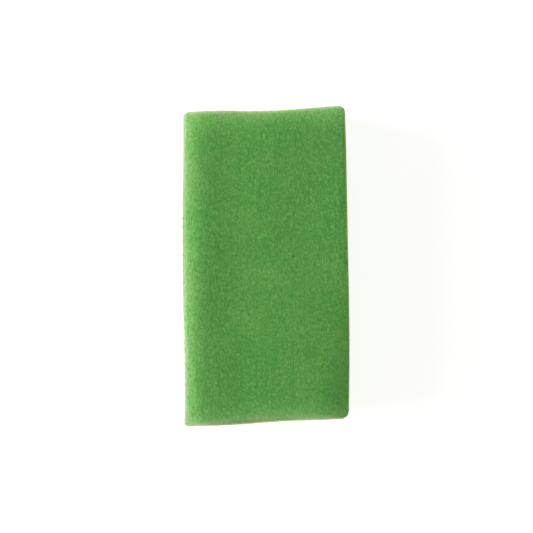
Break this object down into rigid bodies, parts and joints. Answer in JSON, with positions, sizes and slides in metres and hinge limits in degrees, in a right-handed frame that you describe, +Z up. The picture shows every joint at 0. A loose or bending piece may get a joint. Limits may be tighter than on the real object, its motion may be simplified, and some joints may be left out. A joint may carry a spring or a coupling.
{
  "type": "floral foam brick",
  "caption": "Rectangular block of rigid green floral foam, slightly out of square, with rubbed corners and edges, lying on its largest face.",
  "frame": {"origin": "middle of the brick's bounding box, on the face that it lies on", "axes": "+Z up, out of the face that takes the stems; +Y along the brick, towards the narrower end; +X across it, towards the side with the rounder corners"},
  "size_m": [0.122, 0.2334, 0.08],
  "materials": {
    "floral_foam": "matte"
  },
  "bodies": {
    "root": {"foam_block": "floral_foam"}
  },
  "joints": []
}
